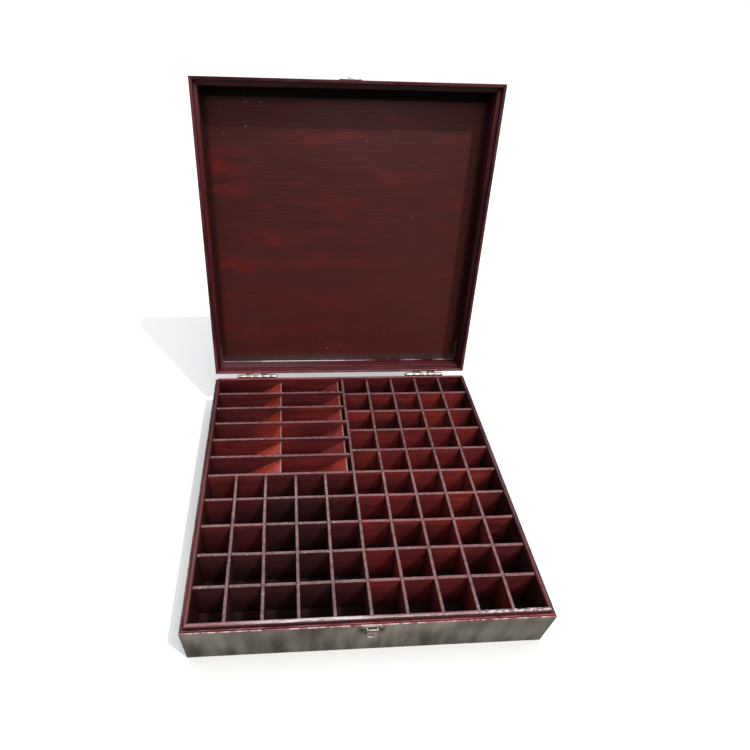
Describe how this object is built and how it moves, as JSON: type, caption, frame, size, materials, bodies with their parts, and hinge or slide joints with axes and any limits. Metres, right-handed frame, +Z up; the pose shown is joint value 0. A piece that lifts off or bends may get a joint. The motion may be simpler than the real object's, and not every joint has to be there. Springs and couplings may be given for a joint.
{
  "type": "type case",
  "caption": "Square wooden case with a hinged lid, divided into small square compartments and long slots with sloping blocks, with a swinging clasp at the front.",
  "frame": {"origin": "middle of the case's underside, on the surface it stands on", "axes": "+X to the right, +Y to the hinged back, +Z up"},
  "size_m": [0.4, 0.5497, 0.4528],
  "materials": {
    "lacquered_wood": "dark mahogany stain under gloss lacquer, hazy with dust and handling",
    "lining_wood": "dark mahogany stain under gloss lacquer, rounded top",
    "board": "dark stained board, satin",
    "divider_wood": "thin stained strips, worn satin top edges",
    "ramp_wood": "bright red-brown stained blocks, satin",
    "lid_wood": "dark mahogany stain under gloss lacquer",
    "panel_wood": "dark mahogany veneer with long red streaks, gloss lacquer",
    "hinge_metal": "nickel plate, tarnished",
    "latch_metal": "nickel plate, warm and tarnished"
  },
  "bodies": {
    "case": {"case_wall_front": "lacquered_wood", "case_lining_front": "lining_wood", "case_wall_back": "lacquered_wood", "case_lining_back": "lining_wood", "case_wall_left": "lacquered_wood", "case_lining_left": "lining_wood", "case_wall_right": "lacquered_wood", "case_lining_right": "lining_wood", "case_bottom": "board", "divider_row_1": "divider_wood", "divider_row_2": "divider_wood", "divider_row_3": "divider_wood", "divider_row_4": "divider_wood", "divider_row_5": "divider_wood", "divider_row_6_right": "divider_wood", "divider_row_7_right": "divider_wood", "divider_row_8_right": "divider_wood", "divider_row_9_right": "divider_wood", "divider_slot_1": "divider_wood", "divider_slot_2": "divider_wood", "divider_slot_3": "divider_wood", "divider_slot_4": "divider_wood", "divider_slot_5": "divider_wood", "divider_column_1_front": "divider_wood", "divider_column_2_front": "divider_wood", "divider_column_3_front": "divider_wood", "divider_column_4_front": "divider_wood", "divider_column_5": "divider_wood", "divider_column_6": "divider_wood", "divider_column_7": "divider_wood", "divider_column_8": "divider_wood", "divider_column_9": "divider_wood", "slot_1_ramp_left": "ramp_wood", "slot_1_ramp_right": "ramp_wood", "slot_2_ramp_left": "ramp_wood", "slot_2_ramp_right": "ramp_wood", "slot_3_ramp_left": "ramp_wood", "slot_3_ramp_right": "ramp_wood", "slot_4_ramp_left": "ramp_wood", "slot_4_ramp_right": "ramp_wood", "slot_5_ramp_left": "ramp_wood", "slot_5_ramp_right": "ramp_wood", "slot_6_ramp_left": "ramp_wood", "slot_6_ramp_right": "ramp_wood", "hinge_left_case_leaf": "hinge_metal", "hinge_left_pin": "hinge_metal", "hinge_right_case_leaf": "hinge_metal", "hinge_right_pin": "hinge_metal", "latch_plate": "latch_metal", "latch_pin": "latch_metal"},
    "lid": {"lid_wall_front": "lid_wood", "lid_wall_back": "lid_wood", "lid_wall_left": "lid_wood", "lid_wall_right": "lid_wood", "lid_panel": "panel_wood", "hinge_left_lid_leaf": "hinge_metal", "hinge_right_lid_leaf": "hinge_metal", "latch_keeper": "latch_metal"},
    "clasp": {"latch_clasp": "latch_metal"}
  },
  "joints": [
    {"name": "lid_hinge", "type": "hinge", "parent": "case", "child": "lid", "pos_m": [0, 0.205, 0.06], "axis": [1, 0, 0], "range_deg": [0, 105]},
    {"name": "clasp_swing", "type": "hinge", "parent": "case", "child": "clasp", "pos_m": [0, -0.203, 0.055], "axis": [-1, 0, 0], "range_deg": [0, 180]}
  ]
}
